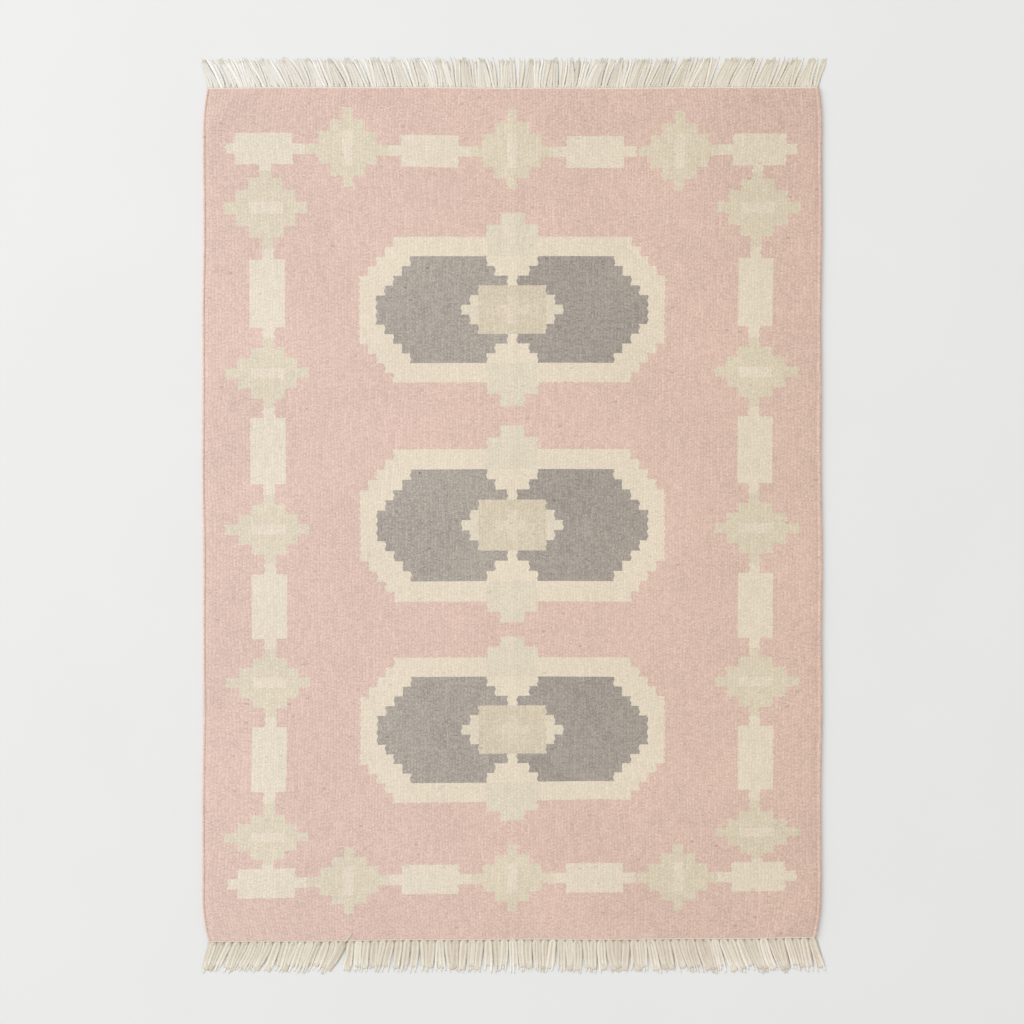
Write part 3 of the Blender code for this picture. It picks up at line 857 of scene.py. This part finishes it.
def strand_path(root, even, key, group, short, height, looseness, fringe, cloth):
    """The line of one strand, from the header down to its height and out to its tip."""
    side = side_of(fringe.end)
    reach = np.linspace(0, 1, YARN_RINGS)
    loose = (chance(key, 1.0) - 0.5) * looseness + (chance(group, 12.0) - 0.5) * fringe.straying
    curl = (chance(key, 2.0) - 0.5) * looseness / 3
    x = strand_centre(root, even, reach, fringe) + loose * reach**1.5 + curl * np.sin(TAU * reach)
    start = float(end_line(root, side, cloth)) + FRINGE_GAP + ROOT_INSET
    length = fringe.length - float(slant(root, side)) - short + HEADER_WIDTH - ROOT_INSET
    down = smooth(reach / LIES_DOWN_BY)
    z = ROOT_HEIGHT * (1 - down) + height * down
    return np.stack([x, side * (start + reach * length), z], -1)


def painted_bunch_tone(even, reach, fringe):
    """How light a strand is painted: painted shade where the strands bunch up, painted light where they
    spread, and paler tips.
    """
    spread = waves(even + MM, SWAYS[fringe.end]) - waves(even - MM, SWAYS[fringe.end])
    paler = 1 + fringe.pale_tips * smooth((reach - PALE_FROM) / PALE_OVER)
    return (1.0 + (BUNCHED_SHADE[0] + BUNCHED_SHADE[1] * reach) * spread / (2 * MM)) * paler


def add_lock(tubes, group, fringe, cloth):
    """The flat body of a knotted group, the yarns that lie beneath its upper ones, painted darker as shade.
    """
    centre, pitch = group_place(group, fringe, cloth)
    key = group * 5.0 + (0.3 if fringe.end == "FAR" else 0.6)
    radius = fringe.lock_share * pitch
    short = fringe.length * fringe.lock_short * (0.5 + chance(key, 8.5))
    reach = np.linspace(0, 1, YARN_RINGS)
    height = 1.05 * LOCK_FLATNESS * radius
    path = strand_path(centre, centre, key, group, short, height, 0.0, fringe, cloth)
    places, shares = LOCK_TAPER
    wide = np.interp(reach, (0, fringe.fanned_out_by, *places), (fringe.knot_width, 1.0, *shares))
    # Painted shade: the body is darker, as the yarns beneath lie in shade.
    varied = GROUP_TONE_RANGE * (chance(group, 9.0) - 0.5)
    tone = LOCK_SHADE_TONE * (painted_bunch_tone(centre, reach, fringe) + varied)
    tubes.add(path, radius * wide, YARN_SIDES, tone, LOCK_FLATNESS)


def add_yarn(tubes, group, number, count, fringe, cloth):
    """One plied warp yarn on top of a lock, from the header to its frayed tip."""
    centre, pitch = group_place(group, fringe, cloth)
    key = group * 7.0 + number * 3.0 + side_of(fringe.end)
    offset = number - (count - 1) / 2
    root = centre + offset * fringe.root_pitch
    even = centre + offset * pitch / count
    reach = np.linspace(0, 1, YARN_RINGS)
    short = fringe.unevenness * (0.7 * chance(key, 3.0) + 0.3 * chance(group, 8.0))
    radius = fringe.yarn_width / 2 * (0.75 + 0.5 * chance(key, 4.0))
    high = ON_LOCK * LOCK_FLATNESS * fringe.lock_share * pitch + LIES_HIGHER * chance(key, 5.0)
    tip = smooth((reach - COMES_DOWN_FROM) / COMES_DOWN_OVER)
    height = high * (1 - tip) + TIP_HEIGHT * radius * tip
    path = strand_path(root, even, key, group, short, height, fringe.looseness, fringe, cloth)
    thin = np.interp(reach, *YARN_TAPER)
    varied = YARN_TONE_RANGE * (chance(key, 7.0) - 0.5) + GROUP_TONE_RANGE * (chance(group, 9.0) - 0.5)
    tone = YARN_TONE * (painted_bunch_tone(centre, reach, fringe) + varied)
    tubes.add(path, radius * thin, YARN_SIDES, tone, YARN_FLATNESS)
    for fibre in range(fringe.fibres):
        spread = (chance(key, 10.0 + fibre) - 0.5) * HAIR_SPREAD
        past = (0.5 + chance(key, 20.0 + fibre)) * fringe.fray
        foot = path[-3] + (path[-1] - path[-3]) * 0.6
        ahead = (path[-1] - path[-4]) / np.linalg.norm(path[-1] - path[-4])
        steps = np.linspace(0, 1, len(HAIR_RADII))[:, None]
        hair = foot + ahead * past * steps + np.array([spread, 0, 0]) * steps**HAIR_CURVE
        hair[:, 2] = np.maximum(hair[:, 2] * (1 - HAIR_SINKS * steps[:, 0]), HAIR_HEIGHT)
        tubes.add(hair, np.array(HAIR_RADII) * MM, HAIR_SIDES, HAIR_TONE * tone[-1], HAIR_FLATNESS)


def add_stray(tubes):
    """One loose warp end that lies over the near edge of the cloth."""
    share = np.linspace(0, 1, STRAY_RINGS)[:, None]
    start, end = (np.array(point) for point in STRAY_END)
    path = start + (end - start) * share
    path[:, 0] += STRAY_BOW * np.sin(math.pi * share[:, 0])
    wide = np.interp(share[:, 0], (0, 0.2, 1.0), (0.5, 1.0, 1.0)) * STRAY_RADIUS
    tubes.add(path, wide, YARN_SIDES, STRAY_TONE, STRAY_FLATNESS)


def header_path(side, cloth):
    """The line of the twined header, just past the cloth's end."""
    left = HEADER_INSET - float(half_width(side * cloth.length / 2, -1, cloth))
    right = float(half_width(side * cloth.length / 2, 1, cloth)) - HEADER_INSET
    x = np.arange(left, right, HEADER_STEP)
    y = side * (end_line(x, side, cloth) + FRINGE_GAP + HEADER_OUT)
    return np.stack([x, y, np.full_like(x, HEADER_HEIGHT)], -1)


def place(mesh, material, node):
    """An object for this mesh that stands for a CAD node and rides with the rug."""
    piece = bpy.data.objects.new(mesh.name, mesh)
    bpy.context.scene.collection.objects.link(piece)
    mesh.materials.append(material)
    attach(piece, "root")
    if node:
        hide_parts(node)


# What every colour setting is: linear red, green, blue and 1.
COLOUR = {"subtype": "COLOR", "size": 4, "min": 0.0, "max": 1.0}
ENDS = (("FAR", "Far", "The end with the finer knots"), ("NEAR", "Near", "The end with the wider knots"))


class ClothSettings(bpy.types.PropertyGroup):
    """Sizes and yarn colours of the woven cloth."""

    width: bpy.props.FloatProperty(
        name="Width", description="Across the warp", default=1.203, unit="LENGTH")
    length: bpy.props.FloatProperty(
        name="Length", description="Along the warp, without the fringes", default=1.652, unit="LENGTH")
    rib_pitch: bpy.props.FloatProperty(
        name="Rib pitch", description="From one warp rib to the next", default=6.2 * MM, unit="LENGTH")
    loop_height: bpy.props.FloatProperty(
        name="Loop height", description="From one weft loop to the next", default=3.9 * MM, unit="LENGTH")
    loop_relief: bpy.props.FloatProperty(
        name="Loop relief", description="How far a loop stands out", default=0.4 * MM, unit="LENGTH")
    join_width: bpy.props.FloatProperty(
        name="Join width", description="How far two yarns interlock", default=2.6 * MM, unit="LENGTH")
    widest_cell: bpy.props.FloatProperty(
        name="Widest cell", description="Largest gap between mesh lines", default=14 * MM, unit="LENGTH")
    field: bpy.props.FloatVectorProperty(
        name="Field", description="Pink ground of the rug", default=linear("e1c4b7"), **COLOUR)
    bar: bpy.props.FloatVectorProperty(
        name="Bars", description="Bars of the border", default=linear("e9ddca"), **COLOUR)
    cross: bpy.props.FloatVectorProperty(
        name="Crosses", description="Crosses of the border", default=linear("e1d5bf"), **COLOUR)
    stripe: bpy.props.FloatVectorProperty(
        name="Stripes", description="Light stripe in each cross", default=linear("e9dcc9"), **COLOUR)
    frame: bpy.props.FloatVectorProperty(
        name="Frames", description="Cream frame of a medallion", default=linear("e9dcc8"), **COLOUR)
    ground: bpy.props.FloatVectorProperty(
        name="Ground", description="Grey left half of a medallion", default=linear("b0a79e"), **COLOUR)
    far_ground: bpy.props.FloatVectorProperty(
        name="Right ground", description="Grey right half", default=linear("a9a098"), **COLOUR)
    heart: bpy.props.FloatVectorProperty(
        name="Heart", description="Lozenge of a medallion", default=linear("dacdb7"), **COLOUR)
    tip: bpy.props.FloatVectorProperty(
        name="Tips", description="Spires and their steps inward", default=linear("e3d8c4"), **COLOUR)
    plus: bpy.props.FloatVectorProperty(
        name="Plus", description="Light cross in the lozenge", default=linear("e1d3bf"), **COLOUR)


class FringeSettings(bpy.types.PropertyGroup):
    """Sizes and colours of one end's fringe. The defaults are the far end's."""

    end: bpy.props.EnumProperty(name="End", description="Which end it is", items=ENDS, default="FAR")
    groups: bpy.props.IntProperty(name="Groups", description="Knotted groups of warps", default=101)
    yarns: bpy.props.IntProperty(name="Yarns", description="Yarns in each group", default=2)
    doubled: bpy.props.FloatProperty(
        name="Doubled", description="Share of groups with one more yarn", default=0.3)
    lock_share: bpy.props.FloatProperty(
        name="Lock share", description="Half a lock's width as a share of the knots' pitch", default=0.52)
    lock_short: bpy.props.FloatProperty(
        name="Lock short", description="How far a lock's body ends before its yarns", default=0.08)
    root_pitch: bpy.props.FloatProperty(
        name="Root pitch", description="Between yarns at the knot", default=3.6 * MM, unit="LENGTH")
    yarn_width: bpy.props.FloatProperty(
        name="Yarn width", description="Across one plied yarn", default=4.7 * MM, unit="LENGTH")
    length: bpy.props.FloatProperty(
        name="Length", description="Past the header", default=55.5 * MM, unit="LENGTH")
    unevenness: bpy.props.FloatProperty(
        name="Unevenness", description="How the lengths differ", default=5 * MM, unit="LENGTH")
    lean: bpy.props.FloatProperty(
        name="Lean", description="How far tips lean outward", default=27 * MM, unit="LENGTH")
    lean_turns_over: bpy.props.FloatProperty(
        name="Lean turns over", description="Where the lean is mostly reached", default=0.27, unit="LENGTH")
    knot_width: bpy.props.FloatProperty(
        name="Knot width", description="A lock's share of its width at the knot", default=0.7)
    lean_power: bpy.props.FloatProperty(
        name="Lean power", description="Higher keeps more of the middle straight", default=1.0)
    straying: bpy.props.FloatProperty(
        name="Straying", description="How far whole groups stray", default=3 * MM, unit="LENGTH")
    looseness: bpy.props.FloatProperty(
        name="Looseness", description="How far yarns stray", default=4 * MM, unit="LENGTH")
    twist: bpy.props.FloatProperty(
        name="Twist", description="Length of one turn of the plies", default=13 * MM, unit="LENGTH")
    fray: bpy.props.FloatProperty(
        name="Fray", description="Length of the loose fibres at a tip", default=4.5 * MM, unit="LENGTH")
    fibres: bpy.props.IntProperty(name="Fibres", description="Loose fibres at each tip", default=3)
    pale_tips: bpy.props.FloatProperty(
        name="Pale tips", description="How much paler the fluffed tips are", default=0.03)
    fanned_out_by: bpy.props.FloatProperty(
        name="Fanned out by", description="Share of the length where yarns lie evenly", default=0.22)
    # In the defaults the right yarn is painted darker and warmer than the left, as shade where the light
    # falls off.
    left: bpy.props.FloatVectorProperty(
        name="Left", description="Yarn at the left side", default=linear("ece6dc"), **COLOUR)
    right: bpy.props.FloatVectorProperty(
        name="Right", description="Yarn at the right side", default=linear("e2d9c6"), **COLOUR)
    header: bpy.props.FloatVectorProperty(
        name="Header", description="Twined line at the knots", default=linear("eee3d4"), **COLOUR)
    # Painted shade: the knot backs are painted darker than the header, as shade between the knots.
    knot_back_shade: bpy.props.FloatProperty(
        name="Knot backs", description="How light the backs of the knots are", default=0.86)


# The near end's fringe, where it differs from the far one: fewer and wider groups of longer yarn.
NEAR_FRINGE = {
    "end": "NEAR",
    "groups": 75,
    "lock_share": 0.6,
    "lock_short": 0.17,
    "root_pitch": 2.4 * MM,
    "yarn_width": 5.2 * MM,
    "length": 65.5 * MM,
    "unevenness": 10 * MM,
    "lean": 23 * MM,
    "lean_turns_over": 0.35,
    "knot_width": 0.42,
    "lean_power": 3.0,
    "straying": 4 * MM,
    "pale_tips": 0.12,
    "fanned_out_by": 0.13,
    "left": linear("e5dcca"),
    "right": linear("e7dbca"),
    "header": linear("f8e8d6"),
    "knot_back_shade": 0.5,
}


class StageSettings(bpy.types.PropertyGroup):
    """The floor, the lamp, the room's light and the camera."""

    floor_width: bpy.props.FloatProperty(
        name="Floor width", description="Each side of the floor", default=8.0, unit="LENGTH")
    floor_dull: bpy.props.FloatVectorProperty(
        name="Floor, dull", description="Duller patches of the floor", default=linear("e8e8e8"), **COLOUR)
    floor_light: bpy.props.FloatVectorProperty(
        name="Floor, light", description="Lighter patches", default=linear("ececec"), **COLOUR)
    lamp_width: bpy.props.FloatProperty(
        name="Lamp width", description="Across the round lamp", default=8.6, unit="LENGTH")
    lamp_power: bpy.props.FloatProperty(
        name="Lamp power", description="In watts", default=694, unit="POWER")
    lamp_place: bpy.props.FloatVectorProperty(
        name="Lamp place", description="Up and to the left", default=(-8.72, 4.96, 5.8), subtype="XYZ")
    room_light: bpy.props.FloatProperty(
        name="Room light", description="Strength of the light from all sides", default=0.765)
    room_colour: bpy.props.FloatVectorProperty(
        name="Room colour", description="Colour of that light", default=(1.0, 1.0, 0.99, 1.0), **COLOUR)
    camera_place: bpy.props.FloatVectorProperty(
        name="Camera place", description="Above the rug", default=(-0.0006, 0.0023, 5.537), subtype="XYZ",
        precision=4)


class RUG_OT_cloth(bpy.types.Operator):
    """Weave the cloth and its pattern"""

    bl_idname = "rug.cloth"
    bl_label = "Weave the cloth"

    def execute(self, context):
        cloth = context.scene.rug_cloth
        if cloth.width <= 0 or cloth.length <= 0:
            raise ValueError("the cloth has no size")
        place(cloth_mesh(cloth), wool_material(cloth), "rug_cloth")
        return {"FINISHED"}


class RUG_OT_fringe(bpy.types.Operator):
    """Knot and lay out one end's fringe"""

    bl_idname = "rug.fringe"
    bl_label = "Knot a fringe"
    end: bpy.props.EnumProperty(name="End", description="Which end to knot", items=ENDS, default="FAR")

    def execute(self, context):
        scene = context.scene
        cloth = scene.rug_cloth
        fringe = {"FAR": scene.rug_far_fringe, "NEAR": scene.rug_near_fringe}[self.end]
        if fringe.end != self.end:
            raise ValueError(f"the settings are not those of the {self.end.lower()} fringe")
        tubes = Tubes()
        for group in range(fringe.groups):
            add_lock(tubes, group, fringe, cloth)
            count = fringe.yarns + int(chance(group, 14.0) < fringe.doubled)
            for number in range(count):
                add_yarn(tubes, group, number, count, fringe, cloth)
        if self.end == "NEAR":
            add_stray(tubes)
        name = self.end.lower()
        yarn = cotton_material(f"plied_cotton_{name}", fringe.left, fringe.right, fringe.twist)
        place(tubes.mesh(f"fringe_{name}"), yarn, f"fringe_{name}_end")
        side = side_of(self.end)
        path = header_path(side, cloth)
        turn = TAU * np.arange(len(path)) * HEADER_STEP / HEADER_TURN
        twining = Tubes()
        twining.add(path, HEADER_RADIUS, YARN_SIDES, 1.0, HEADER_FLATNESS, turn, HEADER_LOBE)
        # The backs of the knots: a strip painted darker, as the shade seen between the knots.
        backs = path + np.array([0, side * KNOT_BACKS_PAST, -KNOT_BACKS_BELOW])
        twining.add(backs, KNOT_BACKS_RADIUS, YARN_SIDES, fringe.knot_back_shade, KNOT_BACKS_FLATNESS)
        cord = cotton_material(f"twined_cotton_{name}", fringe.header, fringe.header, HEADER_TURN)
        place(twining.mesh(f"header_{name}"), cord, None)
        return {"FINISHED"}


class RUG_OT_stage(bpy.types.Operator):
    """Lay the floor, light it softly and hang the camera overhead"""

    bl_idname = "rug.stage"
    bl_label = "Set the stage"

    def execute(self, context):
        scene = context.scene
        stage = scene.rug_stage
        half = stage.floor_width / 2
        mesh = bpy.data.meshes.new("floor")
        mesh.from_pydata([(-half, -half, 0), (half, -half, 0), (half, half, 0), (-half, half, 0)], [],
                         [(0, 1, 2, 3)])
        floor = bpy.data.objects.new("floor", mesh)
        scene.collection.objects.link(floor)
        # Matt painted board: a pale ground, barely uneven in tone, that takes soft shadows.
        material, shader = new_material("matt_painted_board", roughness=0.9, sheen=0.0)
        tree = material.node_tree
        noise = add(tree, "ShaderNodeTexNoise", {"Scale": 3.0, "Detail": 2.0},
                    {"Vector": add(tree, "ShaderNodeTexCoord").outputs["Object"]})
        paint = add(tree, "ShaderNodeMix", {6: tuple(stage.floor_dull), 7: tuple(stage.floor_light)},
                    {0: noise.outputs["Fac"]}, data_type="RGBA")
        tree.links.new(paint.outputs[2], shader.inputs["Base Color"])
        mesh.materials.append(material)

        lamp = bpy.data.lights.new("softbox", "AREA")
        lamp.shape = "DISK"
        lamp.size = stage.lamp_width
        lamp.energy = stage.lamp_power
        softbox = bpy.data.objects.new("softbox", lamp)
        softbox.location = stage.lamp_place
        softbox.rotation_euler = (-Vector(softbox.location)).to_track_quat("-Z", "Y").to_euler()
        scene.collection.objects.link(softbox)

        world = bpy.data.worlds.new("studio")
        world.use_nodes = True
        background = world.node_tree.nodes["Background"]
        background.inputs["Color"].default_value = stage.room_colour
        background.inputs["Strength"].default_value = stage.room_light
        scene.world = world
        scene.view_settings.view_transform = "Standard"

        camera = bpy.data.cameras.new("overhead")
        camera.lens = 100
        camera.sensor_width = 36
        camera.clip_end = 50
        viewer = bpy.data.objects.new("overhead", camera)
        viewer.location = stage.camera_place
        scene.collection.objects.link(viewer)
        scene.camera = viewer
        return {"FINISHED"}


class RUG_PT_panel(bpy.types.Panel):
    """Settings and a button for each piece of the rug"""

    bl_idname = "RUG_PT_panel"
    bl_label = "Flatweave rug"
    bl_space_type = "VIEW_3D"
    bl_region_type = "UI"
    bl_category = "Rug"

    def draw(self, context):
        scene = context.scene
        self.settings(scene.rug_cloth, ClothSettings)
        self.layout.operator("rug.cloth")
        self.settings(scene.rug_far_fringe, FringeSettings)
        self.layout.operator("rug.fringe", text="Knot the far fringe").end = "FAR"
        self.settings(scene.rug_near_fringe, FringeSettings)
        self.layout.operator("rug.fringe", text="Knot the near fringe").end = "NEAR"
        self.settings(scene.rug_stage, StageSettings)
        self.layout.operator("rug.stage")

    def settings(self, group, kind):
        """A box with every setting of a group."""
        box = self.layout.box()
        for name in kind.__annotations__:
            box.prop(group, name)


CLASSES = (
    ClothSettings,
    FringeSettings,
    StageSettings,
    RUG_OT_cloth,
    RUG_OT_fringe,
    RUG_OT_stage,
    RUG_PT_panel,
)


def register():
    for one in CLASSES:
        bpy.utils.register_class(one)
    bpy.types.Scene.rug_cloth = bpy.props.PointerProperty(type=ClothSettings)
    bpy.types.Scene.rug_far_fringe = bpy.props.PointerProperty(type=FringeSettings)
    bpy.types.Scene.rug_near_fringe = bpy.props.PointerProperty(type=FringeSettings)
    bpy.types.Scene.rug_stage = bpy.props.PointerProperty(type=StageSettings)


def unregister():
    del bpy.types.Scene.rug_stage
    del bpy.types.Scene.rug_near_fringe
    del bpy.types.Scene.rug_far_fringe
    del bpy.types.Scene.rug_cloth
    for one in reversed(CLASSES):
        bpy.utils.unregister_class(one)


def main():
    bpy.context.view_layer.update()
    register()
    for name, value in NEAR_FRINGE.items():
        setattr(bpy.context.scene.rug_near_fringe, name, value)
    bpy.ops.rug.cloth()
    bpy.ops.rug.fringe(end="FAR")
    bpy.ops.rug.fringe(end="NEAR")
    bpy.ops.rug.stage()


if __name__ == "__main__":
    main()
